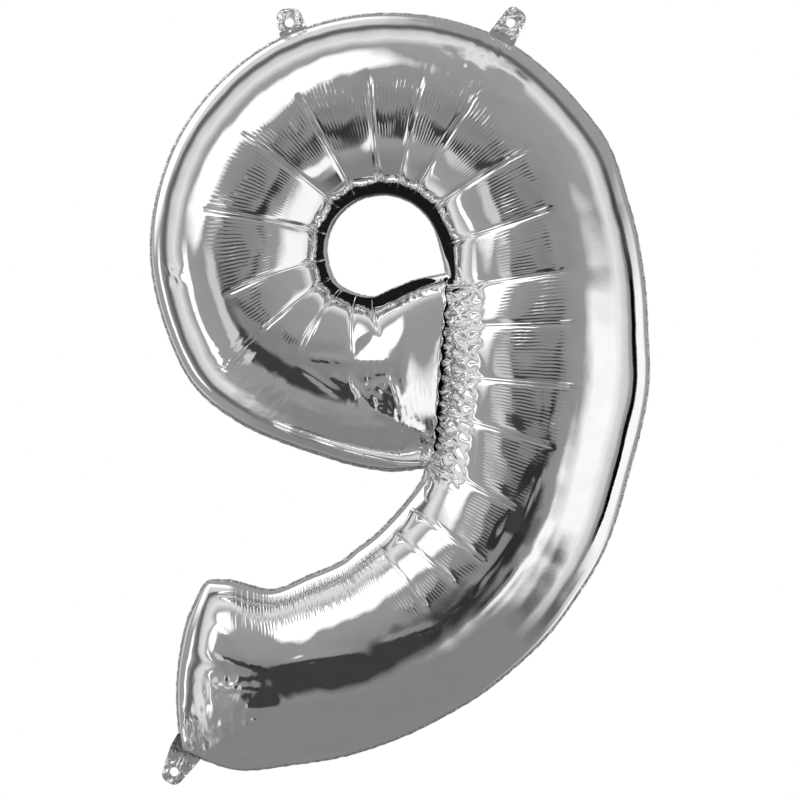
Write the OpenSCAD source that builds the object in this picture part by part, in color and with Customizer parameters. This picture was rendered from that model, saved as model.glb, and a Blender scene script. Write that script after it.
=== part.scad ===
// Foil number balloon, digit 9.
// Two metallised films are welded together along the digit's outline, around its
// eye and along the junction where the loop's end meets the stem. The space between
// them is one tube that starts at the tail, climbs the stem, rounds the loop and ends
// at the junction. Two tabs carry the balloon, and the tail's corner holds the
// filling neck with a self-sealing valve behind it.
// The origin is halfway between the two hanging holes, on the seam plane.
// +X is to the digit's right, -Y is its front, +Z is up.

/* [Digit] */
// Radius of the loop's inflated outer edge around the eye
loop_r = 255; // [252:1:258]
// Radius of the eye's inflated edge
eye_r = 66; // [62:1:70]
// Half depth of the tube as a share of its width
depth_share = 0.39; // [0.30:0.01:0.46]
// Where the tube is deepest, as a share of its width from the outer edge
crest_share = 0.46; // [0.40:0.01:0.55]

/* [Film] */
// Thickness of one film
film_t = 0.5; // [0.4:0.1:0.8]
// Width of the welded border
seam_w = 5; // [4:0.5:6]

/* [Hanging tabs] */
// Distance between the two hanging holes
hole_span = 244; // [240:1:248]
// Radius of the holes in the tabs
hole_r = 5; // [3:0.5:6]
// Width of a hanging tab
tab_w = 31; // [26:1:36]
// Film beyond the hole's centre
tab_tip = 16; // [13:1:20]
// Gap left at a tab's root, for its living hinge
hinge_gap = 1.2; // [1.2:0.1:2]

/* [Filling neck] */
// Width of the neck at its root
neck_w = 36; // [30:1:38]
// Width of the neck at its tip
neck_tip_w = 24; // [20:1:30]

/* [Valve] */
// Width of the valve's films
valve_w = 24; // [16:1:28]
// Length of the valve's films
valve_l = 80; // [60:5:90]
// Thickness of one valve film
valve_t = 0.3; // [0.2:0.1:0.4]

/* [Hidden] */
$fn = 48;

// Centre of the digit's eye, in the part's frame
eye = [-16, -249];

// All sections of the tube are drawn from the eye's centre.
// The stem's outer edge, from the tail's end up to the loop
stem_outer = [
    [-220, -550], [-165, -570], [-105, -565], [-45, -555], [15, -535],
    [75, -505], [120, -475], [170, -430], [205, -385], [240, -325],
    [265, -245], [285, -160], [285, -90], [280, -25], [265, 45]
];
// The junction: the line that the loop's end closes on, one weld away from the stem
junction_low = [50, -235];
junction_high = [65, -30];
junction_gap = 5;
junction_lean = (junction_high[0] - junction_low[0]) / (junction_high[1] - junction_low[1]);
function junction_x(z) = junction_low[0] + junction_lean * (z - junction_low[1]);
// The stem's inner edge: the curve below the junction, heights beside it, and the eye's side
inner_below = [
    [-200, -370], [-170, -370], [-125, -380], [-85, -365], [-50, -350],
    [-30, -335], [-10, -320], [10, -300], [35, -270]
];
heights_beside = [-235, -190, -140, -90, -35];
inner_above = [[65, 0]];
stem_inner = concat(
    inner_below,
    [for (z = heights_beside) [junction_x(z) + junction_gap, z]],
    inner_above
);
stem_rows = [for (i = [0:len(stem_outer) - 1]) concat(stem_outer[i], stem_inner[i])];

// The loop is round from its top to its lower left. It bulges where it leaves the stem
// and draws in towards its end, and the eye sits a little off its centre.
loop_angles = concat([for (a = [30:30:210]) a], [230, 255]);
bulge = 10;
draw_in = 20;
eye_draw_in = 10;
eye_offset = 4;
function leaving(a) = max(0, 90 - a) / 60;
function ending(a) = max(0, a - 210) / 45;
function loop_outer(a) = loop_r + bulge * leaving(a) - draw_in * ending(a);
function loop_inner(a) = eye_r - eye_offset * cos(a - 45) - eye_draw_in * ending(a);
loop_rows = [for (a = loop_angles) [
    loop_outer(a) * cos(a), loop_outer(a) * sin(a),
    loop_inner(a) * cos(a), loop_inner(a) * sin(a)
]];
// The loop's end, closing on the junction
end_rows = [
    [-5, -240, 5, -50],
    [25, -240, 30, -40],
    concat(junction_low, junction_high)
];
rows = concat(stem_rows, loop_rows, end_rows);
last = len(rows) - 1;

// Distance between rings along the outer edge, rings in each end cap, and
// facets across the tube
ring_gap = 28;
rings_in_cap = 6;
facets = 20;
// How far the tail's end bows out
tail_bow = 14;

// Catmull-Rom curve through the sections, at a place v from 0 to last
function row_at(i) = rows[max(0, min(last, i))];
function section(v) =
    let (i = min(last - 1, floor(v)), t = v - i,
         a = row_at(i - 1), b = row_at(i), c = row_at(i + 1), d = row_at(i + 2))
    0.5 * (2 * b + (c - a) * t + (2 * a - 5 * b + 4 * c - d) * t * t
        + (3 * b - a - 3 * c + d) * t * t * t);

// Places of the rings: close together in the rounded caps at both ends
cap_steps = [for (k = [0:rings_in_cap - 1]) 1 - cos(90 * k / rings_in_cap)];
function rings_after(i) =
    max(1, round(norm([rows[i + 1][0] - rows[i][0], rows[i + 1][1] - rows[i][1]]) / ring_gap));
places = concat(
    cap_steps,
    [for (i = [1:last - 2]) let (n = rings_after(i)) for (k = [0:n - 1]) i + k / n],
    [for (k = [rings_in_cap:-1:1]) last - 1 + cos(90 * k / rings_in_cap)],
    [last]
);
// Share of the full depth at a place: a quarter round over each cap
function cap_at(v) =
    let (d = min(1, min(v, last - v)))
    sqrt(max(0, 1 - (1 - d) * (1 - d)));

// Point of the skin at ring place v and turn a (0 outer edge, 180 inner edge),
// for a tube that is smaller by inset all round
function skin_point(v, a, inset) =
    let (s = section(v),
         o = [s[0], s[1]], i = [s[2], s[3]],
         across = (i - o) / norm(i - o),
         along = [across[1], -across[0]],
         ends = inset * (max(0, 1 - v) - max(0, v - last + 1)),
         share = a < 90 ? crest_share * (1 - cos(a))
                        : crest_share - (1 - crest_share) * cos(a),
         width = norm(i - o) - 2 * inset,
         bow = tail_bow * pow(max(0, 1 - v), 2) * 4 * share * (1 - share),
         p = o + across * (inset + width * share) + along * (ends - bow),
         depth = (norm(i - o) * depth_share - inset) * cap_at(v) * sin(a))
    [p[0] + eye[0], -depth, p[1] + eye[1]];

// The same points on the front (side 1) or the back (side -1)
function skin_grid(inset, side) = [
    for (v = places) for (j = [0:facets])
        let (p = skin_point(v, 180 * j / facets, inset)) [p[0], side * p[1], p[2]]
];

// One film, closed between its outer and inner faces
module skin(side) {
    row = facets + 1;
    n = len(places);
    inner = n * row;
    outer_faces = [for (r = [0:n - 2]) for (j = [0:facets - 1])
        let (p = r * row + j)
        each [[p, p + 1, p + row], [p + 1, p + row + 1, p + row]]];
    inner_faces = [for (r = [0:n - 2]) for (j = [0:facets - 1])
        let (p = inner + r * row + j)
        each [[p, p + row, p + 1], [p + 1, p + row, p + row + 1]]];
    edge_faces = [for (r = [0:n - 2])
        let (p = r * row, q = p + facets)
        each [[p, p + row, inner + p + row], [p, inner + p + row, inner + p],
              [q, inner + q + row, q + row], [q, inner + q, inner + q + row]]];
    end_faces = [for (j = [0:facets - 1])
        let (p = j, q = (n - 1) * row + j)
        each [[p, inner + p + 1, p + 1], [p, inner + p, inner + p + 1],
              [q, q + 1, inner + q + 1], [q, inner + q + 1, inner + q]]];
    front_faces = concat(edge_faces, end_faces, inner_faces, outer_faces);
    polyhedron(
        points = concat(skin_grid(0, side), skin_grid(film_t, side)),
        faces = side > 0 ? front_faces : [for (f = front_faces) [f[2], f[1], f[0]]]
    );
}

// The tube's footprint on the seam plane, and the films' cut outline around it
module footprint() {
    outer_edge = [for (v = places) skin_point(v, 0, 0)];
    loop_end = [for (j = [1:facets - 1]) skin_point(last, 180 * j / facets, 0)];
    inner_edge = [for (k = [len(places) - 1:-1:0]) skin_point(places[k], 180, 0)];
    tail_end = [for (j = [facets - 1:-1:1]) skin_point(0, 180 * j / facets, 0)];
    polygon([for (p = concat(outer_edge, loop_end, inner_edge, tail_end)) [p[0], p[2]]]);
}
module weld_border() {
    difference() {
        offset(r = seam_w) footprint();
        footprint();
    }
}

// The neck's hole, and how far its root lies behind it
neck_hole = [-249, -826];
neck_root_d = 24;
// The border widens to a shoulder in front of the neck's root
module neck_shoulder() {
    difference() {
        translate(neck_hole) rotate(60) hull() {
            translate([neck_root_d + hinge_gap, -neck_w / 2]) square([1, neck_w]);
            translate([neck_root_d + 30, 0]) circle(r = 8);
        }
        footprint();
    }
}

// Areas that part the border into its three welds
module eye_area() {
    translate(eye) circle(r = eye_r + 20);
}
module junction_area() {
    translate(eye) polygon([[45, -230], [65, -230], [80, -40], [55, -40]]);
}

// A flat shape drawn on the seam plane, from depth y0 to depth y1
module slab(y0, y1) {
    translate([0, y1, 0]) rotate([90, 0, 0]) linear_extrude(y1 - y0) children();
}

module outer_seam_shape() {
    difference() {
        union() {
            weld_border();
            neck_shoulder();
        }
        eye_area();
        junction_area();
    }
}
module hole_seam_shape() {
    difference() {
        intersection() {
            weld_border();
            eye_area();
        }
        junction_area();
    }
}
module junction_shape() {
    intersection() {
        weld_border();
        junction_area();
    }
}

module front_panel() { color("silver") skin(1); }
module back_panel() { color("silver") skin(-1); }
module outer_seam() { color("gainsboro") slab(-film_t, film_t) outer_seam_shape(); }
module hole_seam() { color("gainsboro") slab(-film_t, film_t) hole_seam_shape(); }
module junction_weld() { color("gainsboro") slab(-film_t, film_t) junction_shape(); }

// One ply of a tab on the seam plane. The tab points along lean (degrees from +X),
// and its root lies square to facing, root_d from the hole's centre.
module tab_ply(hole, lean, facing, root_d, root_w, tip_w, tip_l, y0, y1) {
    corner = 10;
    slab(y0, y1) translate(hole) difference() {
        hull() {
            for (side = [-1, 1])
                rotate(lean) translate([tip_l - corner, side * (tip_w / 2 - corner)])
                    circle(r = corner);
            rotate(facing) translate([-root_d, -root_w / 2]) square([1, root_w]);
        }
        circle(r = hole_r);
    }
}

// A hanging tab's root faces the eye, one hinge gap outside the loop's border
module hanging_tab(hole, lean, tip_w, tip_l, y0, y1) {
    facing = atan2(hole[1] - eye[1], hole[0] - eye[0]);
    root_d = norm(hole - eye) - loop_outer(facing) - seam_w - hinge_gap;
    tab_ply(hole, lean, facing, root_d, tab_w, tip_w, tip_l, y0, y1);
}
// The left tab stands upright, the right one leans outwards
module tab_left(y0, y1) {
    hanging_tab([-hole_span / 2, 0], 92, tab_w - 3, tab_tip, y0, y1);
}
module tab_right(y0, y1) {
    hanging_tab([hole_span / 2, 0], 52, tab_w - 6, tab_tip + 2, y0, y1);
}
module tab_left_front() { color("whitesmoke") tab_left(-film_t, 0); }
module tab_left_back() { color("whitesmoke") tab_left(0, film_t); }
module tab_right_front() { color("whitesmoke") tab_right(-film_t, 0); }
module tab_right_back() { color("whitesmoke") tab_right(0, film_t); }

// Filling neck at the tail's lower corner, with the hole that the nozzle enters by
module neck(y0, y1) {
    tab_ply(neck_hole, 241, 240, neck_root_d, neck_w, neck_tip_w, 14, y0, y1);
}
module neck_front() { color("whitesmoke") neck(-film_t, 0); }
module neck_back() { color("whitesmoke") neck(0, film_t); }

// Valve: two limp films inside the tail, in line with the neck. The gas presses
// them together, and a nozzle parts them.
valve_root = [-218, -783];
valve_turn = 60;
valve_gap = 0.15;
module valve_film(y0, y1) {
    corner = 5;
    slab(y0, y1) translate(valve_root) rotate(valve_turn) hull() {
        translate([0, -valve_w / 2]) square([1, valve_w]);
        for (side = [-1, 1])
            translate([valve_l - corner, side * (valve_w / 2 - corner)])
                circle(r = corner);
    }
}
module valve_front_film() {
    color("aliceblue") valve_film(-valve_gap - valve_t, -valve_gap);
}
module valve_back_film() {
    color("aliceblue") valve_film(valve_gap, valve_gap + valve_t);
}

front_panel();
back_panel();
outer_seam();
hole_seam();
junction_weld();
tab_left_front();
tab_left_back();
tab_right_front();
tab_right_back();
neck_front();
neck_back();
valve_front_film();
valve_back_film();
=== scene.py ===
import math

import bpy
import numpy as np
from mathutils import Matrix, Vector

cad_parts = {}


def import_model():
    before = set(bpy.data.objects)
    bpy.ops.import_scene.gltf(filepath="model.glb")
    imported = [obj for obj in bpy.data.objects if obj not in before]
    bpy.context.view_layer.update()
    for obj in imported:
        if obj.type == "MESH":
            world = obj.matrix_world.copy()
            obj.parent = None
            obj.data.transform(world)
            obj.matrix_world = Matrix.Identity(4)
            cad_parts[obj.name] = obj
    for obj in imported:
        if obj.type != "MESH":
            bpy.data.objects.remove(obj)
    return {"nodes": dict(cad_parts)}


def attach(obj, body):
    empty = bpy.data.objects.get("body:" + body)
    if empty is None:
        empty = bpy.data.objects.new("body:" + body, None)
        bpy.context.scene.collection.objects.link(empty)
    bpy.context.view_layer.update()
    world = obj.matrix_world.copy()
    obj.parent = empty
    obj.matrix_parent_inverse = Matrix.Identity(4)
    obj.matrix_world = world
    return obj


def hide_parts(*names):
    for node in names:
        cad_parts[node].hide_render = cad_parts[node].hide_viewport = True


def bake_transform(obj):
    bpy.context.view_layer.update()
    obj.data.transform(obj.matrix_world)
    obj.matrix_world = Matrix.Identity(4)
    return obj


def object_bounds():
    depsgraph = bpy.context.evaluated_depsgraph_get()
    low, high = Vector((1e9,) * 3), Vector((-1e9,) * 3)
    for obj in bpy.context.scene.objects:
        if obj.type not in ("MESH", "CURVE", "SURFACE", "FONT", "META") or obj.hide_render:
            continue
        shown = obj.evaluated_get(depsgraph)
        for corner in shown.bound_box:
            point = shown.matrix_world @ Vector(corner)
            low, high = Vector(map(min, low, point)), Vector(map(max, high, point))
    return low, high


# Silver foil number balloon, digit 9. Metres, +Z up, the front film faces -Y.
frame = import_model()
cad_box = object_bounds()
scene = bpy.context.scene

MM = 0.001

# ---------------------------------------------------------------- the tube's sections
# The same sections as the CAD model's, drawn in mm from the eye's centre
EYE = np.array([-16.0, -249.0])
LOOP_R = 255.0
EYE_R = 66.0
SEAM_W = 5.0
DEPTH_SHARE = 0.39
CREST_SHARE = 0.46
TAIL_BOW = 14.0
# The inflated film rolls out this far over its weld, and the weld shows this far past it
FILM_ROLL = 3.0
FLANGE = 2.2
TAIL_ROUND = 13.0
# How softly the facets at the tube's ends turn into the full tube
CAP_KNEE = 0.3
# It rolls out further inside the eye, and where the stem and the loop's end press together
EYE_ROLL = 1.2
CONTACT_ROLL = 9.0
# Places along the tube where the stem meets the loop's end, and where it is free again
STEM_JOINED, STEM_FREE = 8.5, 13.15
# The film's thickness in the border, the tabs and the neck
PLY = 0.15

# The stem's outer edge, from the tail's end up to the loop
STEM_OUTER = [
    [-220, -550], [-165, -570], [-105, -565], [-45, -555], [15, -535],
    [75, -505], [120, -475], [170, -430], [205, -385], [240, -325],
    [265, -245], [285, -160], [285, -90], [280, -25], [265, 45],
]
# The line that the loop's end closes on, one weld away from the stem
JUNCTION_LOW = (50, -235)
JUNCTION_HIGH = (65, -30)
JUNCTION_GAP = 5
# The stem's inner edge: the curve below the junction, and heights beside it
INNER_BELOW = [
    [-200, -370], [-170, -370], [-125, -380], [-85, -365], [-50, -350],
    [-30, -335], [-10, -320], [10, -300], [35, -270],
]
HEIGHTS_BESIDE = [-235, -190, -140, -90, -35]
BULGE, DRAW_IN, EYE_DRAW_IN, EYE_OFFSET = 10, 20, 10, 4
LOOP_ANGLES = [30, 60, 90, 120, 150, 180, 210, 230, 255]
END_ROWS = [[-5, -240, 5, -50], [25, -240, 30, -40], [*JUNCTION_LOW, *JUNCTION_HIGH]]


def junction_x(z):
    """The junction's line at a height."""
    (x0, z0), (x1, z1) = JUNCTION_LOW, JUNCTION_HIGH
    return x0 + (x1 - x0) * (z - z0) / (z1 - z0)


def loop_outer(angle):
    """The loop bulges where it leaves the stem and draws in towards its end."""
    return LOOP_R + BULGE * max(0, 90 - angle) / 60 - DRAW_IN * max(0, angle - 210) / 45


def loop_inner(angle):
    """The eye sits a little off the loop's centre."""
    offset = EYE_OFFSET * math.cos(math.radians(angle - 45))
    return EYE_R - offset - EYE_DRAW_IN * max(0, angle - 210) / 45


def loop_row(angle):
    """Section of the loop at an angle about the eye."""
    c, s = math.cos(math.radians(angle)), math.sin(math.radians(angle))
    return [loop_outer(angle) * c, loop_outer(angle) * s, loop_inner(angle) * c, loop_inner(angle) * s]


inner_beside = [[junction_x(z) + JUNCTION_GAP, z] for z in HEIGHTS_BESIDE]
stem_inner = INNER_BELOW + inner_beside + [[65, 0]]
stem_rows = [outer + inner for outer, inner in zip(STEM_OUTER, stem_inner)]
ROWS = np.array(stem_rows + [loop_row(a) for a in LOOP_ANGLES] + END_ROWS, float)
LAST = len(ROWS) - 1


def section(v):
    """Catmull-Rom curve through the sections, at places v."""
    i = np.minimum(LAST - 1, np.floor(v).astype(int))
    t = (v - i)[..., None]
    a, b, c, d = (ROWS[np.clip(i + k, 0, LAST)] for k in (-1, 0, 1, 2))
    return 0.5 * (2 * b + (c - a) * t + (2 * a - 5 * b + 4 * c - d) * t**2
                  + (3 * b - a - 3 * c + d) * t**3)


def share_of(turn):
    """Share of the width at a turn round the tube: 0 is the outer edge, 180 the inner."""
    c = np.cos(np.radians(turn))
    return np.where(turn < 90, CREST_SHARE * (1 - c), CREST_SHARE - (1 - CREST_SHARE) * c)


def smooth(a, b, x):
    """Smooth step from 0 at a to 1 at b."""
    t = np.clip((x - a) / (b - a), 0, 1)
    return t * t * (3 - 2 * t)


def end_cap(d, reach, rim, low):
    """Share of the full depth at a distance d from an end: a sloping facet, then a round rim."""
    t = d / reach
    slope = 0.5 * (t + 1 - np.sqrt((t - 1)**2 + CAP_KNEE**2))
    facet = low + (1 - low) * np.clip(slope, 0, 1)
    return facet * np.sqrt(np.maximum(0, 1 - (1 - np.minimum(1, d / rim))**2))


def tube(v, turn):
    """Points of the smooth front skin, in metres."""
    s = section(v)
    outer, inner = s[..., :2], s[..., 2:]
    flat_width = np.linalg.norm(inner - outer, axis=-1)
    across = (inner - outer) / flat_width[..., None]
    along = np.stack([across[..., 1], -across[..., 0]], -1)
    beside_end = smooth(8.3, 9.0, v) * (1 - smooth(12.6, STEM_FREE, v))
    inner_roll = FILM_ROLL + EYE_ROLL * smooth(13.2, 14.0, v) + CONTACT_ROLL * beside_end
    width = flat_width + FILM_ROLL + inner_roll
    share = share_of(turn)
    start, end = np.maximum(0, 1 - v), np.maximum(0, v - LAST + 1)
    shift = (FILM_ROLL + CONTACT_ROLL) * end**2 - FILM_ROLL * start**2
    shift -= TAIL_BOW * start**2 * 4 * share * (1 - share)
    corner = TAIL_ROUND * np.maximum(0, 1 - v / 0.4)**2 * smooth(0.7, 1.0, share)
    p = outer + across * (width * share - FILM_ROLL - corner)[..., None] + along * shift[..., None] + EYE
    tail_rim = 0.76 + 0.18 * smooth(0.50, 0.62, share)
    cap = end_cap(v, 1.9, 0.7, tail_rim) * end_cap(LAST - v, 1.3, 0.3, 0.68)
    depth = width * DEPTH_SHARE * cap * np.sin(np.radians(turn))
    return np.stack([p[..., 0], -depth, p[..., 1]], -1) * MM


# ---------------------------------------------------------------- small maths
def bell(x, middle, half):
    """Smooth hump of height 1 at middle, with a half width."""
    return np.exp(-((x - middle) / half)**2)


def ripple(x, y, seed, waves=7):
    """Smooth irregular waves between about -1 and 1, for lengths near 1 in x and y."""
    draw = np.random.default_rng(seed)
    total = np.zeros_like(x)
    for _ in range(waves):
        turn, phase, size = draw.uniform(0, 2 * math.pi, 2).tolist() + [draw.uniform(0.6, 1.7)]
        total += np.sin((x * math.cos(turn) + y * math.sin(turn)) * 6.28 * size + phase)
    return total / math.sqrt(waves)


def crumple(x, y, seed):
    """Creased waves: sharp ridges between flat facets."""
    first = np.abs(ripple(x, y, seed))
    second = np.abs(ripple(x * 2.1, y * 2.1, seed + 1))
    return 1 - 1.1 * first - 0.45 * second


# ---------------------------------------------------------------- creases of the films
# Each crease: its place along the tube at half width, how far it slants over the whole
# width, and the share of the width where it starts. It ends nearer the inner edge
# on the loop than on the stem.
CREASES = [
    (5.9, 0.0, 0.55), (6.8, -0.1, 0.55), (7.6, 0.0, 0.5), (8.9, 0.0, 0.5), (10.1, 0.2, 0.4),
    (11.0, 0.0, 0.35), (12.1, -0.1, 0.35), (13.0, -0.4, 0.4), (14.2, -0.2, 0.4),
    (15.2, 0.2, 0.35), (16.0, 0.1, 0.3), (16.6, 0.0, 0.35), (17.2, 0.0, 0.35),
    (18.0, 0.0, 0.35), (18.7, -0.1, 0.3), (19.6, -0.1, 0.3), (20.5, -0.3, 0.4),
    (21.2, -0.5, 0.5), (22.1, -1.0, 0.55), (23.1, -1.5, 0.65), (24.2, -2.4, 0.75),
]
CREASE_AT, CREASE_SLANT, CREASE_START = np.array(CREASES).T
CREASE_END = np.interp(CREASE_AT, [6, 15, 24], [0.88, 0.95, 1.0])

# Wrinkles: ends x, z, x, z from the eye's centre, half width and height,
# all in mm; a height below 0 is a groove
FOLDS = [
    (-95, -130, -50, -160, 3, 2), (-40, -140, -15, -175, 3.5, 3), (-15, -175, 15, -190, 3.5, 3),
    (15, -190, 45, -205, 4, 2.5), (-85, -120, -40, -125, 3, 2), (-40, -125, 10, -125, 6, 1),
    (-30, -150, 5, -140, 3, -1.5), (5, -140, 20, -180, 3.5, 2), (-20, -160, 0, -170, 3, 2),
    (-60, -140, -40, -150, 3, 1.5), (-60, -195, 5, -200, 3, 1), (-110, -165, -60, -190, 3.5, 1.5),
    (-120, -455, -25, -440, 5, 1.5), (-155, -505, -115, -500, 4, 2), (-195, -530, -160, -515, 4, 2),
    (-200, -555, -170, -530, 4, 3), (-170, -530, -125, -510, 4, 3), (-230, -505, -195, -510, 3.5, 1.5),
    (-215, -515, -215, -545, 3, -2.5), (-210, -515, -200, -555, 3.5, -3), (-190, -470, -190, -495, 4, 1),
    (-190, -410, -165, -430, 6, 1.5), (-200, -450, -140, -460, 4, 1), (-195, -480, -135, -480, 4, 1.5),
    (170, -240, 140, -310, 2.5, 0.9), (140, -310, 90, -385, 2.5, 0.9), (150, -260, 115, -345, 2, -0.8),
    (190, -260, 160, -335, 3, 0.5), (115, -345, 60, -410, 2.5, 0.8), (60, -410, -10, -435, 3, 1),
    (175, -150, 170, -225, 2.5, -0.7), (160, -335, 95, -410, 3, 1), (60, 215, 80, 210, 4, -1),
    (85, 205, 110, 185, 5, 2), (120, 195, 135, 190, 4, 1.5), (135, 190, 155, 175, 4, 1.5),
    (120, 165, 145, 155, 3.5, 1.5), (-240, -20, -220, -40, 3, 1.5), (-230, -20, -230, -45, 3, -1.5),
    (-240, -35, -220, -25, 3, 1),
]
# Patches of fine crumpling: x, z from the eye's centre, radius, height and grain in mm
PATCHES = [
    (-160, -120, 20, 1.2, 14), (-130, -160, 20, 1.2, 14), (95, 195, 35, 0.7, 20),
    (10, -185, 25, 1.1, 15), (-10, -150, 25, 0.7, 18), (-170, -500, 45, 0.6, 30),
    (-205, -535, 25, 1.2, 18),
]

# Rings of points along each film, and the turn round the tube where its length is measured
RINGS = 1230
CREST_TURN = 95.0
# Distances between pleats and between puckers, and the diamonds' length and width, in mm
PLEAT_GAP = 8.8
TAIL_PLEAT_GAP = 6.8
FINE_PLEAT_GAP = 3.8
EYE_PUCKER_GAP = 26
END_PUCKER_GAP = 20
DIAMOND_L, DIAMOND_W = 21, 26
# What the whole width counts as across the stem, in mm, when the diamonds are spaced
STEM_W = 185
# Where the stem and the loop's end touch: the heights, how fast the stem may come across
# below the junction, and how far the line between them waves, with its two lengths per radian
CONTACT_LOW, CONTACT_HIGH = -264, -24
CONTACT_LEAN = 1.2
CONTACT_WAVE, SHORT_WAVE, LONG_WAVE = 1.3, 3.4, 17
CONTACT_GAP = 0.1
# Least distance of a film from the seam plane inside its edge
SEAM_GAP = 0.2


def rings(count):
    """Places of the film's rings, closer together at the creases and the tube's ends."""
    u = np.linspace(0, LAST, 6001)
    p = tube(u, np.full_like(u, CREST_TURN))
    step = np.linalg.norm(np.diff(p, axis=0), axis=1)
    middle = (u[1:] + u[:-1]) / 2
    length = np.cumsum(step)
    crease_length = np.interp(CREASE_AT, middle, length)
    need = 1 + 3.0 * sum(bell(length, c, 0.0035) for c in crease_length)
    need += 0.9 * (smooth(0.8, 1.2, middle) - smooth(5.4, 5.9, middle))
    need += 2.0 * smooth(0.8, 0.0, middle) + 3.0 * smooth(LAST - 1.1, LAST - 0.8, middle)
    total = np.concatenate([[0], np.cumsum(step * need)])
    return np.interp(np.linspace(0, total[-1], count), total, u)


def slanted(u, share):
    """The place along the tube of ring u at a share of the width: rings follow the creases."""
    slant = np.interp(u, np.r_[4.5, CREASE_AT, LAST], np.r_[0, CREASE_SLANT, 0])
    return np.clip(u + slant * (share - 0.5) * (0.15 + 0.85 * smooth(0.0, 0.3, share)), 0, LAST)


def tube_at(u, share, turn):
    """One ring of the smooth skin, at place u."""
    return tube(slanted(u, share[0]), turn[0])


def press_together(p, v):
    """Keeps the stem and the loop's end on their own sides of the plane where they touch."""
    x = p[..., 0] / MM - EYE[0]
    z = p[..., 2] / MM - EYE[1]
    plane = junction_x(z) + JUNCTION_GAP / 2 - CONTACT_LEAN * np.maximum(0, JUNCTION_LOW[1] - z)
    plane = plane + CONTACT_WAVE * np.sin(z / SHORT_WAVE + 1.2 * np.sin(z / LONG_WAVE))
    stem = (v < 13.3) & (v > 8) & (z > CONTACT_LOW) & (z < CONTACT_HIGH)
    loop_end = v > LAST - 2
    x = np.where(stem, np.maximum(x, plane + CONTACT_GAP), x)
    x = np.where(loop_end, np.minimum(x, plane - CONTACT_GAP), x)
    p[..., 0] = (x + EYE[0]) * MM
    return p


def puckers(place, other, gap, seed):
    """Cusps of height 1, gap mm apart along place."""
    return 1 - np.abs(np.sin(math.pi * place / (gap * MM) + 0.8 * ripple(place / 0.05, other * 4, seed)))


def diamonds(along, across):
    """Crossing fold lines that part the film into diamonds; 1 on the lines, 0 between."""
    wander = 0.12 * ripple(along / 0.06, across / 0.03, 21)
    place, slope = along / (DIAMOND_L * MM), across / (DIAMOND_W * MM)
    first, second = (np.abs(np.sin(math.pi * (place + turn * slope + wander))) for turn in (1, -1))
    return (1 - np.minimum(first, second))**1.4


def pleats(length_here, share, gap, sway, reach, seed):
    """Waves along the tube, gap mm apart, that sway over a reach in metres."""
    shift = sway * ripple(length_here / reach, share * 3, seed)
    return np.sin(2 * math.pi * length_here / (gap * MM) + shift)


def facets(p, u, share, turn, length, crease_length):
    """Draws the skin straight from crease to crease. Returns it, its slight bulge between
    the creases, and how close its rings lie, as a share of their distance at the crest."""
    k = np.clip(np.searchsorted(crease_length, length) - 1, 0, len(CREASES) - 2)
    t = (length - crease_length[k]) / (crease_length[k + 1] - crease_length[k])
    faceted = ((t > 0) & (t < 1)).astype(float)
    at_crease = [tube_at(c, share, turn) for c in CREASE_AT]
    ruled = np.stack([at_crease[i] * (1 - f) + at_crease[i + 1] * f
                      for i, f in zip(k, np.clip(t, 0, 1))])
    start = np.interp(u, CREASE_AT, CREASE_START)
    end = np.interp(u, CREASE_AT, CREASE_END)
    rise = smooth(start, start + 0.07, share) * (1 - 0.8 * smooth(end - 0.02, 1.0, share))
    p = p + (ruled - p) * (rise * faceted[:, None])[..., None]
    narrow = np.linalg.norm(np.gradient(p, axis=0), axis=-1) / np.gradient(length)[:, None]
    bulge = np.clip(4 * t * (1 - t), 0, 1)[:, None]**0.8
    height = 1.1 * MM * bulge * rise * np.clip(narrow, 0.4, 1) * (1 - smooth(24.0, 24.9, u))
    return p, height, narrow


def crease_heights(length_here, crease_length, narrow, share):
    """The fold line of each crease, with a dimple where it starts."""
    height = np.zeros_like(share)
    for at, first, last in zip(crease_length, CREASE_START, CREASE_END):
        off = (length_here - at) * np.clip(narrow, 0.3, 1.2)
        run = smooth(first - 0.005, first + 0.03, share) * (1 - smooth(last - 0.02, 1.0, share))
        height += 0.75 * MM * bell(off, 0, 1.0 * MM) * run * (1 + 1.5 * smooth(0.8, 0.92, share))
        height -= 0.95 * MM * bell(off, 0, 3.2 * MM) * run
        height -= 0.5 * MM * bell(share, first + 0.03, 0.03) * bell(off, 0, 2.6 * MM)
    return height


def pleat_heights(side, u, share, length_here):
    """Pleats across the tube, from the crest inwards, and in the tail near its inner edge.
    Returns their height and where the film is pleated."""
    start = np.interp(u, CREASE_AT, CREASE_START)
    pleated = smooth(start - 0.02, start + 0.08, share) * (1 - smooth(0.60, 0.74, share))
    pleated *= smooth(4.6, 5.6, u) * (1 - smooth(23.0, 24.2, u))
    patchy = 0.55 + 0.45 * ripple(length_here / 0.06, share * 4, 11 + side)
    pleated *= np.clip(patchy, 0.1, 1)
    height = 0.09 * MM * pleats(length_here, share, PLEAT_GAP, 1.2, 0.05, 5) * pleated
    tail = smooth(0.9, 1.5, u) * (1 - smooth(5.2, 6.2, u))
    tail *= smooth(0.72, 0.86, share) * (1 - smooth(0.95, 1.0, share))
    wave = pleats(length_here, share, TAIL_PLEAT_GAP, 2.2, 0.04, 8)
    height += 0.22 * MM * wave * tail * (0.6 + 0.4 * ripple(length_here / 0.03, share * 5, 9))
    return height, np.clip(pleated + 0.8 * tail, 0, 1)


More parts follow.
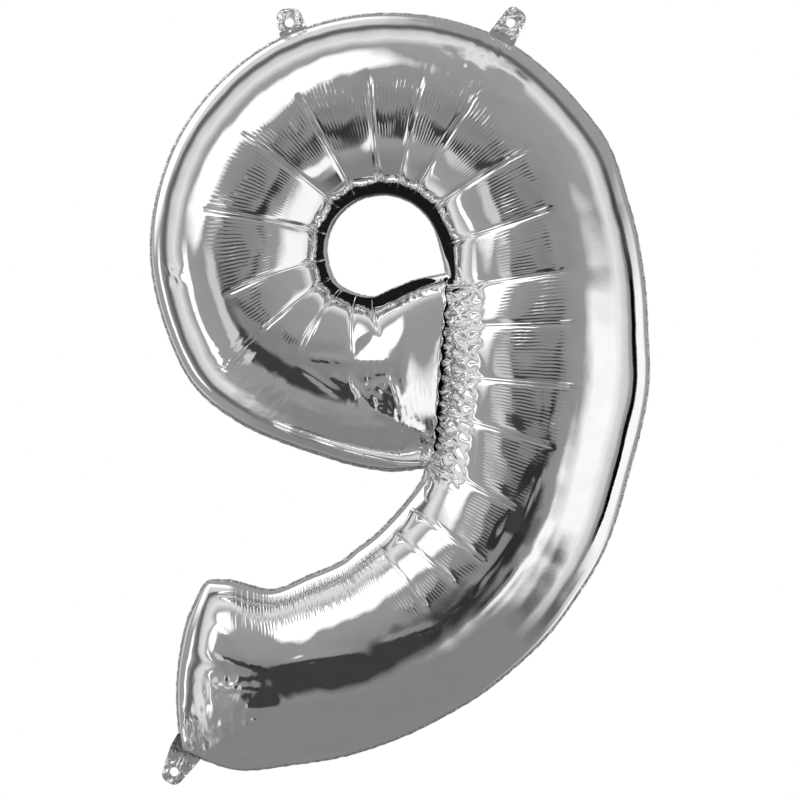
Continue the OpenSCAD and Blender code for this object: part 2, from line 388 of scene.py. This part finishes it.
def rim_heights(p, u, v, share, length_here):
    """Puckers inside the eye and on the loop's end, and diamonds on the stem beside it."""
    eye_rim = smooth(0.88, 0.96, share) * (1 - smooth(0.985, 1.0, share)) * smooth(13.2, 14.2, u)
    height = -0.6 * MM * puckers(length_here, share, EYE_PUCKER_GAP, 15)**3 * eye_rim
    stem = smooth(8.4, 8.9, v) * (1 - smooth(12.7, 13.1, v))
    quilted = smooth(0.77, 0.83, share) * (1 - smooth(0.965, 0.995, share)) * stem
    height -= 2.6 * MM * diamonds(length_here, share * STEM_W * MM) * quilted
    end_rim = smooth(0.06, 0.16, share) * (1 - smooth(0.92, 0.99, share))
    near = smooth(LAST - 0.4, LAST - 0.12, v) * (1 - smooth(LAST - 0.06, LAST, v))
    height -= 1.8 * MM * puckers(p[..., 2], v, END_PUCKER_GAP, 23)**1.3 * end_rim * near
    return height


def wrinkle_heights(side, x, z):
    """Wrinkles and crumpled patches, at x and z from the eye's centre, on foil that is never
    quite even. Both films have them at the same places, mirrored about the seam plane."""
    height = np.zeros_like(x)
    for x0, z0, x1, z1, wide, high in FOLDS:
        a, b = np.array([x0, z0]) * MM, np.array([x1, z1]) * MM
        span = np.linalg.norm(b - a)
        q = ((x - a[0]) * (b - a)[0] + (z - a[1]) * (b - a)[1]) / span**2
        off = ((x - a[0]) * (b - a)[1] - (z - a[1]) * (b - a)[0]) / span
        taper = smooth(-0.12, 0.3, q) * (1 - smooth(0.7, 1.12, q))
        crisp = 0.5 * bell(off, 0, wide * MM) + 0.5 * np.exp(-np.abs(off) / (0.6 * wide * MM))
        height += high * MM * crisp * taper
    for x0, z0, radius, high, grain in PATCHES:
        near = bell(np.hypot(x - x0 * MM, z - z0 * MM), 0, radius * MM)
        height += high * MM * near * crumple(x / (grain * MM), z / (grain * MM), 31 + side)
    height += 0.22 * MM * ripple(x / 0.11, z / 0.11, 41 + side)
    height += 0.07 * MM * ripple(x / 0.035, z / 0.035, 43 + side)
    return height


def film_points(side):
    """Grid of the film's points with its creases, pleats and wrinkles.
    Returns the points, how far along and across each is, and where it is pleated."""
    turn = np.r_[np.linspace(0, 84, 29)[:-1], np.linspace(84, 180, 53)]
    u, turn = np.meshgrid(rings(RINGS), turn, indexing="ij")
    share = share_of(turn)
    v = slanted(u, share)
    p = tube(v, turn)
    normal = np.cross(np.gradient(p, axis=0), np.gradient(p, axis=1))
    normal /= np.linalg.norm(normal, axis=-1, keepdims=True) + 1e-12
    normal *= np.where(normal[..., 1:2] > 0, -1, 1)

    crest = tube(u[:, 0], np.full(RINGS, CREST_TURN))
    length = np.r_[0, np.cumsum(np.linalg.norm(np.diff(crest, axis=0), axis=1))]
    length_here = length[:, None] * np.ones_like(u)
    crease_length = np.interp(CREASE_AT, u[:, 0], length)

    p, height, narrow = facets(p, u, share, turn, length, crease_length)
    height += crease_heights(length_here, crease_length, narrow, share)
    pleat_height, pleated = pleat_heights(side, u, share, length_here)
    height += pleat_height + rim_heights(p, u, v, share, length_here)
    height += wrinkle_heights(side, p[..., 0] - EYE[0] * MM, p[..., 2] - EYE[1] * MM)
    edge = smooth(0.0, 0.05, share) * (1 - smooth(0.97, 1.0, share))
    edge *= smooth(0.0, 0.12, v) * (1 - smooth(LAST - 0.12, LAST, v))
    p = p + normal * (height * edge)[..., None]

    # The film's edge lies on the seam plane, and the rest stays off it
    p[..., 1] = np.minimum(p[..., 1], -SEAM_GAP * MM)
    p[:, 0, 1] = p[:, -1, 1] = 0
    p[0, :, 1] = p[-1, :, 1] = 0
    p = press_together(p, v)
    p[..., 1] *= side
    return p, length_here, share, pleated


def grid_object(name, p, u, v, masks=None, flip=False):
    """A mesh object from a grid of points, with a UV map in u and v and point attributes."""
    n, m = p.shape[:2]
    index = np.arange(n * m).reshape(n, m)
    a, b, c, d = index[:-1, :-1], index[:-1, 1:], index[1:, 1:], index[1:, :-1]
    quads = np.stack([a, b, c, d] if flip else [a, d, c, b], -1).reshape(-1, 4)
    mesh = bpy.data.meshes.new(name)
    mesh.from_pydata(p.reshape(-1, 3).tolist(), [], quads.tolist())
    uv = mesh.uv_layers.new(name="UVMap")
    flat = np.stack([u.ravel(), v.ravel()], -1)[quads.ravel()]
    uv.data.foreach_set("uv", flat.astype(np.float32).ravel())
    for key, value in (masks or {}).items():
        attribute = mesh.attributes.new(key, "FLOAT", "POINT")
        attribute.data.foreach_set("value", value.astype(np.float32).ravel())
    mesh.polygons.foreach_set("use_smooth", np.ones(len(quads), bool))
    obj = bpy.data.objects.new(name, mesh)
    scene.collection.objects.link(obj)
    return obj


# ---------------------------------------------------------------- materials
def shader(name, colour, metallic, roughness):
    """A new material, its node tree and its Principled shader."""
    material = bpy.data.materials.new(name)
    material.use_nodes = True
    tree = material.node_tree
    bsdf = next(n for n in tree.nodes if n.type == "BSDF_PRINCIPLED")
    bsdf.inputs["Base Color"].default_value = (*colour, 1)
    bsdf.inputs["Metallic"].default_value = metallic
    bsdf.inputs["Roughness"].default_value = roughness
    return material, tree, bsdf


def node(tree, kind, **values):
    """A node with its inputs and properties set."""
    made = tree.nodes.new(kind)
    for key, value in values.items():
        if hasattr(made, key):
            setattr(made, key, value)
        else:
            made.inputs[key.replace("_", " ")].default_value = value
    return made


def maths(tree, operation, a, b=0.0):
    """A Math node on sockets or numbers; returns its output."""
    made = tree.nodes.new("ShaderNodeMath")
    made.operation = operation
    for socket, value in zip(made.inputs, (a, b)):
        if isinstance(value, (int, float)):
            socket.default_value = value
        else:
            tree.links.new(value, socket)
    return made.outputs[0]


def ramp(tree, value, stops):
    """A colour ramp over (place, grey or colour) stops; returns its colour output."""
    made = tree.nodes.new("ShaderNodeValToRGB")
    tree.links.new(value, made.inputs[0])
    elements = made.color_ramp.elements
    while len(elements) < len(stops):
        elements.new(0.5)
    for element, (place, colour) in zip(elements, stops):
        element.position = place
        grey = isinstance(colour, (int, float))
        element.color = (colour, colour, colour, 1) if grey else (*colour, 1)
    return made.outputs["Color"]


def bump(tree, height, distance, before=None):
    """A Bump node on a height socket; returns its normal output."""
    made = tree.nodes.new("ShaderNodeBump")
    made.inputs["Strength"].default_value = 1.0
    made.inputs["Distance"].default_value = distance
    tree.links.new(height, made.inputs["Height"])
    if before is not None:
        tree.links.new(before, made.inputs["Normal"])
    return made.outputs["Normal"]


def foil_material():
    """Polished metallised film with fine pleats, faint dents and handling marks."""
    material, tree, bsdf = shader("foil", (0.92, 0.92, 0.93), 1.0, 0.06)
    place = node(tree, "ShaderNodeTexCoord").outputs["Object"]
    uv = node(tree, "ShaderNodeUVMap", uv_map="UVMap").outputs["UV"]
    split = tree.nodes.new("ShaderNodeSeparateXYZ")
    tree.links.new(uv, split.inputs[0])
    marks = node(tree, "ShaderNodeTexNoise", Scale=38.0, Detail=5.0, Roughness=0.6)
    tree.links.new(place, marks.inputs["Vector"])
    tree.links.new(ramp(tree, marks.outputs["Fac"], [
        (0.3, (0.9, 0.9, 0.915)), (0.7, (0.97, 0.97, 0.975))]), bsdf.inputs["Base Color"])
    cloud = node(tree, "ShaderNodeTexNoise", Scale=14.0, Detail=3.0)
    tree.links.new(place, cloud.inputs["Vector"])
    rough = ramp(tree, cloud.outputs["Fac"], [(0.35, 0.025), (0.65, 0.055)])
    tree.links.new(rough, bsdf.inputs["Roughness"])
    mask = node(tree, "ShaderNodeAttribute", attribute_name="pleated").outputs["Fac"]
    wander = node(tree, "ShaderNodeTexNoise", Scale=60.0, Detail=2.0)
    tree.links.new(place, wander.inputs["Vector"])
    turn = maths(tree, "MULTIPLY", split.outputs[0], 2 * math.pi / (FINE_PLEAT_GAP * MM))
    turn = maths(tree, "ADD", turn, maths(tree, "MULTIPLY", wander.outputs["Fac"], 5.0))
    pleat = maths(tree, "MULTIPLY", maths(tree, "SINE", turn), mask)
    first = bump(tree, pleat, 0.00016)
    dents = node(tree, "ShaderNodeTexNoise", Scale=110.0, Detail=3.0, Roughness=0.55)
    tree.links.new(place, dents.inputs["Vector"])
    second = bump(tree, dents.outputs["Fac"], 0.00006, first)
    tree.links.new(second, bsdf.inputs["Normal"])
    return material


def weld_material():
    """Heat-sealed border: duller foil with a fine pressed grid."""
    material, tree, bsdf = shader("weld", (0.86, 0.86, 0.87), 1.0, 0.2)
    place = node(tree, "ShaderNodeTexCoord").outputs["Object"]
    grain = node(tree, "ShaderNodeTexNoise", Scale=240.0, Detail=4.0)
    tree.links.new(place, grain.inputs["Vector"])
    tree.links.new(ramp(tree, grain.outputs["Fac"], [(0.3, 0.12), (0.7, 0.3)]),
                   bsdf.inputs["Roughness"])
    tree.links.new(ramp(tree, grain.outputs["Fac"], [
        (0.3, (0.8, 0.8, 0.81)), (0.7, (0.9, 0.9, 0.905))]), bsdf.inputs["Base Color"])
    cells = node(tree, "ShaderNodeTexVoronoi", Scale=700.0)
    tree.links.new(place, cells.inputs["Vector"])
    first = bump(tree, cells.outputs["Distance"], 0.0003)
    tree.links.new(bump(tree, grain.outputs["Fac"], 0.0004, first), bsdf.inputs["Normal"])
    return material


def tab_material():
    """Crinkled film of the tabs and the neck."""
    material, tree, bsdf = shader("tab_film", (0.93, 0.93, 0.935), 1.0, 0.1)
    place = node(tree, "ShaderNodeTexCoord").outputs["Object"]
    grain = node(tree, "ShaderNodeTexNoise", Scale=160.0, Detail=4.0, Roughness=0.6)
    tree.links.new(place, grain.inputs["Vector"])
    tree.links.new(ramp(tree, grain.outputs["Fac"], [(0.3, 0.06), (0.7, 0.2)]),
                   bsdf.inputs["Roughness"])
    tree.links.new(ramp(tree, grain.outputs["Fac"], [
        (0.3, (0.86, 0.86, 0.87)), (0.7, (0.96, 0.96, 0.96))]), bsdf.inputs["Base Color"])
    tree.links.new(bump(tree, grain.outputs["Fac"], 0.0006), bsdf.inputs["Normal"])
    return material


def valve_material():
    """Clear, slightly milky valve film."""
    material, tree, bsdf = shader("valve_film", (0.86, 0.9, 0.93), 0.0, 0.3)
    place = node(tree, "ShaderNodeTexCoord").outputs["Object"]
    cloud = node(tree, "ShaderNodeTexNoise", Scale=90.0, Detail=4.0)
    tree.links.new(place, cloud.inputs["Vector"])
    tree.links.new(ramp(tree, cloud.outputs["Fac"], [(0.3, 0.18), (0.7, 0.4)]),
                   bsdf.inputs["Roughness"])
    bsdf.inputs["Alpha"].default_value = 0.6
    tree.links.new(bump(tree, cloud.outputs["Fac"], 0.0004), bsdf.inputs["Normal"])
    return material


FOIL = foil_material()
WELD = weld_material()
TAB = tab_material()
VALVE = valve_material()


def paint(obj, material):
    """Gives an object one material."""
    obj.data.materials.clear()
    obj.data.materials.append(material)


# ---------------------------------------------------------------- the two films
def film(name, side, replaced):
    """One film of the balloon, in front for side 1 and behind for side -1."""
    p, along, share, pleated = film_points(side)
    obj = grid_object(name, p, along, share, {"pleated": pleated}, flip=side < 0)
    paint(obj, FOIL)
    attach(obj, "balloon")
    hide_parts(replaced)
    return obj


# The front film and the back film; the tube's flat width is its half girth
for foil in (film("front_foil", 1, "front_panel"), film("back_foil", -1, "back_panel")):
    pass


def flange(name, replaced, path, width, seed):
    """The welded border along a path on the seam plane, on the path's left: thin, wavy film."""
    step = np.gradient(path, axis=0)
    step /= np.linalg.norm(step, axis=1, keepdims=True)
    out = np.stack([-step[:, 1], step[:, 0]], -1)
    length = np.r_[0, np.cumsum(np.linalg.norm(np.diff(path, axis=0), axis=1))]
    offset = np.array([-1.5, 0.0, 0.5 * width, width])[None, :] * MM
    length_here = length[:, None] * np.ones_like(offset)
    wave = ripple(length_here / 0.012, offset / 0.01, seed)
    wave += 0.5 * ripple(length_here / 0.005, offset, seed + 1)
    y = 0.35 * MM * wave * np.clip(offset / (width * MM), 0, 1)
    edge = offset * (1 + 0.12 * ripple(length_here / 0.01, offset, seed + 2))
    x = path[:, :1] + out[:, :1] * edge
    z = path[:, 1:] + out[:, 1:] * edge
    obj = grid_object(name, np.stack([x, y, z], -1), length_here, offset * np.ones_like(length_here))
    solid = obj.modifiers.new("thickness", "SOLIDIFY")
    solid.thickness = PLY * MM
    solid.offset = 0
    paint(obj, WELD)
    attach(obj, "balloon")
    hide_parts(replaced)


def edge_path(places, turns):
    """Points of the film's edge on the seam plane."""
    v, turn = np.broadcast_arrays(places, turns)
    return tube(v.astype(float), turn.astype(float))[:, [0, 2]]


flange("outer_flange", "outer_seam", np.concatenate([
    edge_path(np.linspace(LAST, 0, 1100), 0), edge_path(0, np.linspace(5, 175, 60)),
    edge_path(np.linspace(0, STEM_JOINED, 420), 180)]), FLANGE, 71)
flange("eye_flange", "hole_seam", edge_path(np.linspace(STEM_FREE, LAST, 420), 180),
       FLANGE - EYE_ROLL, 75)
flange("junction_flange", "junction_weld", edge_path(LAST, np.linspace(175, 5, 160)), 1.0, 78)

for cad in ("valve_front_film", "valve_back_film"):
    paint(frame["nodes"][cad], VALVE)


# ---------------------------------------------------------------- tabs and neck
HOLE_R = 5.0
CORNER = 10.0
HINGE_GAP = 1.2
# The tabs curl back a little, as a share of their length
TAB_LEAN = 0.14
# Width of a hanging tab at its root
TAB_W = 31


def unit(angle):
    """Unit vector at an angle in degrees."""
    return np.array([math.cos(math.radians(angle)), math.sin(math.radians(angle))])


def reach(outline, direction):
    """How far a ray from the origin goes inside a convex outline, which turns anticlockwise."""
    best = np.inf
    for a, b in zip(outline, np.roll(outline, -1, axis=0)):
        edge = b - a
        out = np.array([edge[1], -edge[0]])
        facing = out @ direction
        if facing > 1e-9:
            best = min(best, (out @ a) / facing)
    return best


def convex(points):
    """Convex outline round points, anticlockwise."""
    points = sorted(map(tuple, points))

    def half(run):
        """The lower or the upper half of the outline."""
        chain = []
        for q in run:
            while len(chain) > 1 and np.cross(np.subtract(chain[-1], chain[-2]),
                                              np.subtract(q, chain[-2])) <= 0:
                chain.pop()
            chain.append(q)
        return chain[:-1]

    return np.array(half(points) + half(points[::-1]))


def tab(name, replaced, body, hole, lean, facing, root_d, root_w, tip_w, tip_l, overlap, side, seed):
    """One crinkled ply of a tab, with its punched hole, from the balloon's border outwards."""
    l, across = unit(lean), unit(lean + 90)
    f, root_across = unit(facing), unit(facing + 90)
    points = []
    for s in (-1, 1):
        middle = l * (tip_l - CORNER) + across * s * (tip_w / 2 - CORNER)
        points += [middle + unit(a) * CORNER for a in range(0, 360, 15)]
        points.append(root_across * s * root_w / 2 - f * (root_d + HINGE_GAP + overlap))
        points.append(root_across * s * root_w / 2 - f * root_d)
    outline = convex(points)
    angles = np.linspace(0, 360, 145)
    far = np.array([reach(outline, unit(a)) for a in angles])
    step = np.linspace(0, 1, 34)[None, :]
    radius = HOLE_R + (far[:, None] - HOLE_R) * step
    x = radius * np.cos(np.radians(angles))[:, None]
    z = radius * np.sin(np.radians(angles))[:, None]
    outwards = x * f[0] + z * f[1] + root_d + HINGE_GAP
    free = smooth(0.0, 9.0, outwards)
    y = 1.6 * free * crumple(x / 22, z / 22, seed) + 0.8 * free * ripple(x / 26, z / 26, seed + 3)
    y += side * (0.35 + 0.5 * free * np.abs(ripple(x / 18, z / 18, seed + 5 + side)))
    y += side * 0.35 * (1 - free)
    y -= TAB_LEAN * np.maximum(0, outwards)
    p = np.stack([x + hole[0], -y, z + hole[1]], -1) * MM
    obj = grid_object(name, p, x * MM, z * MM)
    solid = obj.modifiers.new("thickness", "SOLIDIFY")
    solid.thickness = PLY * MM
    paint(obj, TAB)
    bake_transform(obj)
    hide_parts(replaced)


def hanging_tab(hole, lean, tip_w, tip_l):
    """Sizes of a hanging tab whose root faces the eye, one hinge gap outside the border."""
    dx, dz = hole - EYE
    facing = math.degrees(math.atan2(dz, dx))
    root_d = math.hypot(dx, dz) - loop_outer(facing) - SEAM_W - HINGE_GAP
    return hole, lean, facing, root_d, TAB_W, tip_w, tip_l, SEAM_W + 2


# Hole, lean, facing, root's distance and width, tip's width and length, and overlap
TABS = {
    "tab_left": hanging_tab((-122, 0), 92, TAB_W - 3, 16),
    "tab_right": hanging_tab((122, 0), 52, TAB_W - 6, 18),
    "neck": ((-249, -826), 241, 240, 24, 36, 24, 14, 16),
}
for number, (body, sizes) in enumerate(TABS.items()):
    for ply, side in (("front", 1), ("back", -1)):
        tab(f"{body}_{ply}_film", f"{body}_{ply}", body, *sizes, side, 60 + 10 * number)


# ---------------------------------------------------------------- light
def srgb(value):
    """Linear light that shows as this grey between 0 and 1."""
    return value**2.2


# The room's grey at angles from the viewer's side: grey in front, pale walls beside the
# balloon and a dark backdrop behind it
ROOM = [(0, 0.5), (30, 0.58), (68, 0.62), (80, 0.9), (94, 0.8), (102, 0.4), (108, 0.4), (116, 0.6)]
# The softboxes' distance from the balloon's middle, and where the fade from a card's edge
# ends, on a scale that is 0 at the edge and 1 in the middle
STUDIO_R = 2.0
EDGE_FADE = 0.75
# The grey board under the balloon: a corner and its two sides in metres
BOARD = ((-0.6, 0.95, -0.98), (1.3, 0, 0), (0, -1.9, 0))
BOARD_GREY = 0.52
# The dark disc across the eye, which only reflections show: painted shade on the eye's walls
EYE_SHADE_DISC_R = 0.053
EYE_SHADE_GREY = 0.12
# The light above the floor: its strength, and its spread in degrees
OVERHEAD_STRENGTH = 1.9
OVERHEAD_SPREAD = 40
# How far from their centres the eye's disc and the floor start, in metres and as a share of
# the floor's radius, so that their inmost faces have some area
DISC_CORE = 0.001
FLOOR_CORE = 0.00001
# Softboxes, and flags, which are dark: direction round the view axis (0 right, 90 up) and from
# the viewer's side, long side round the axis and short side in metres, and grey
SOFTBOXES = {
    "key_softbox": (130, 49, 2.8, 1.1, 1.2),
    "right_panel": (-10, 60, 2.2, 1.7, 1.0),
    "left_softbox": (195, 30, 1.3, 0.5, 0.8),
    "left_strip": (195, 62, 1.8, 0.3, 1.1),
    "low_strip": (315, 38, 1.2, 0.6, 1.0),
    "edge_strip": (120, 118, 2.8, 0.8, 0.85),
    "front_flag": (245, 17, 2.0, 0.9, 0.25),
    "side_flag": (320, 15, 1.1, 0.5, 0.2),
    "low_flag": (310, 68, 1.1, 1.0, 0.2),
    "right_flag": (-5, 106, 2.4, 0.5, 0.05),
}


def world():
    """A plain soft room for the reflections, and plain white to the eye."""
    made = bpy.data.worlds.new("studio")
    scene.world = made
    made.use_nodes = True
    tree = made.node_tree
    tree.nodes.clear()
    direction = node(tree, "ShaderNodeTexCoord").outputs["Generated"]
    split = tree.nodes.new("ShaderNodeSeparateXYZ")
    tree.links.new(direction, split.inputs[0])
    angle = maths(tree, "ARCCOSINE", maths(tree, "MULTIPLY", split.outputs[1], -1.0))
    room = ramp(tree, maths(tree, "DIVIDE", angle, math.pi), [(a / 180, srgb(g)) for a, g in ROOM])
    around_light = node(tree, "ShaderNodeBackground", Strength=1.0)
    tree.links.new(room, around_light.inputs["Color"])
    white = node(tree, "ShaderNodeBackground", Color=(1, 1, 1, 1), Strength=1.0)
    mix = tree.nodes.new("ShaderNodeMixShader")
    seen = node(tree, "ShaderNodeLightPath").outputs["Is Camera Ray"]
    tree.links.new(seen, mix.inputs[0])
    tree.links.new(around_light.outputs[0], mix.inputs[1])
    tree.links.new(white.outputs[0], mix.inputs[2])
    out = tree.nodes.new("ShaderNodeOutputWorld")
    tree.links.new(mix.outputs[0], out.inputs[0])


def stage_light(obj, grey, soft_edges=True):
    """Gives a card an even glow, which may fade at its edges. Only reflections show it."""
    material = bpy.data.materials.new(obj.name)
    material.use_nodes = True
    tree = material.node_tree
    tree.nodes.clear()
    glow = node(tree, "ShaderNodeEmission", Strength=1.0, Color=(*[srgb(grey)] * 3, 1))
    out = tree.nodes.new("ShaderNodeOutputMaterial")
    if soft_edges:
        uv = node(tree, "ShaderNodeUVMap", uv_map="UVMap").outputs["UV"]
        split = tree.nodes.new("ShaderNodeSeparateXYZ")
        tree.links.new(uv, split.inputs[0])
        fades = []
        for along in split.outputs[:2]:
            inside = maths(tree, "MULTIPLY", along, maths(tree, "SUBTRACT", 1.0, along))
            fades.append(ramp(tree, maths(tree, "MULTIPLY", inside, 4.0), [(0, 0), (EDGE_FADE, 1)]))
        cover = maths(tree, "MULTIPLY", *fades)
        mix = tree.nodes.new("ShaderNodeMixShader")
        clear = node(tree, "ShaderNodeBsdfTransparent")
        tree.links.new(cover, mix.inputs[0])
        tree.links.new(clear.outputs[0], mix.inputs[1])
        tree.links.new(glow.outputs[0], mix.inputs[2])
        tree.links.new(mix.outputs[0], out.inputs[0])
    else:
        tree.links.new(glow.outputs[0], out.inputs[0])
    obj.data.materials.append(material)
    obj.visible_camera = False
    obj.visible_diffuse = False
    obj.visible_shadow = False


def card(name, corner, side_a, side_b, grey):
    """A flat card from a corner and its two sides."""
    a = np.linspace(0, 1, 9)[:, None] * np.ones((1, 5))
    b = np.linspace(0, 1, 5)[None, :] * np.ones((9, 1))
    p = np.array(corner) + a[..., None] * np.array(side_a) + b[..., None] * np.array(side_b)
    stage_light(grid_object(name, p, a, b), grey)


def softbox(name, around, polar, long, short, grey):
    """A card at a direction from the balloon's middle, square to it."""
    a, t = math.radians(around), math.radians(polar)
    out = np.array([math.sin(t) * math.cos(a), -math.cos(t), math.sin(t) * math.sin(a)])
    side_a = np.array([-math.sin(a), 0, math.cos(a)])
    side_b = np.cross(out, side_a)
    middle = np.array([0, 0, (cad_box[0].z + cad_box[1].z) / 2]) + out * STUDIO_R
    card(name, middle - side_a * long / 2 - side_b * short / 2, side_a * long, side_b * short, grey)


def overhead_light():
    """A wide soft light from above for the floor, which the foil doesn't reflect."""
    data = bpy.data.lights.new("overhead", "SUN")
    data.energy = OVERHEAD_STRENGTH
    data.angle = math.radians(OVERHEAD_SPREAD)
    light = bpy.data.objects.new("overhead", data)
    scene.collection.objects.link(light)
    light.visible_glossy = False


def eye_shade_disc():
    """A dark disc across the eye, which only reflections show: painted shade, so that what the walls of
    the eye show is nearly black.
    """
    r = np.linspace(DISC_CORE, EYE_SHADE_DISC_R, 6)[:, None] * np.ones((1, 49))
    a = np.linspace(0, 2 * math.pi, 49)[None, :] * np.ones((6, 1))
    p = np.stack([EYE[0] * MM + r * np.cos(a), 0 * r, EYE[1] * MM + r * np.sin(a)], -1)
    stage_light(grid_object("eye_shade_disc", p, r, a), EYE_SHADE_GREY, soft_edges=False)


for box_name, (around, polar, long, short, grey) in SOFTBOXES.items():
    softbox(box_name, around, polar, long, short, grey)
    # The lights in front have twins behind, so the back film is lit as the front one is
    if polar < 90:
        softbox("rear_" + box_name, around, 180 - polar, long, short, grey)
card("under_board", *BOARD, BOARD_GREY)
# Painted shade: a dark disc in the eye that darkens what the eye's walls reflect
eye_shade_disc()
world()
overhead_light()
scene.view_settings.view_transform = "Standard"

# ---------------------------------------------------------------- floor and camera
FLOOR_DROP = 0.35
FLOOR_R = 1.6


def floor():
    """A pale round floor below the hanging balloon."""
    count, turns = 24, 96
    r = np.linspace(FLOOR_CORE, 1, count)[:, None] * np.ones((1, turns + 1)) * FLOOR_R
    a = np.linspace(0, 2 * math.pi, turns + 1)[None, :] * np.ones((count, 1))
    p = np.stack([r * np.cos(a), r * np.sin(a), np.full_like(r, cad_box[0].z - FLOOR_DROP)], -1)
    obj = grid_object("floor", p, r, a)
    material, tree, bsdf = shader("floor", (0.9, 0.9, 0.9), 0.0, 0.6)
    grain = node(tree, "ShaderNodeTexNoise", Scale=5.0, Detail=3.0)
    tree.links.new(ramp(tree, grain.outputs["Fac"], [(0.3, 0.86), (0.7, 0.92)]),
                   bsdf.inputs["Base Color"])
    obj.data.materials.append(material)
    obj.visible_glossy = False


floor()

# The camera looks straight at the front; the frame's width is at the balloon's distance
CAMERA_DISTANCE = 5.0
FRAME_WIDTH = 0.882
FRAME_MIDDLE = (0.0, -0.416)
camera_data = bpy.data.cameras.new("camera")
camera = bpy.data.objects.new("camera", camera_data)
scene.collection.objects.link(camera)
camera.location = (FRAME_MIDDLE[0], -CAMERA_DISTANCE, FRAME_MIDDLE[1])
camera.rotation_euler = (math.pi / 2, 0, 0)
camera_data.lens = camera_data.sensor_width * CAMERA_DISTANCE / FRAME_WIDTH
camera_data.clip_end = 30
scene.camera = camera
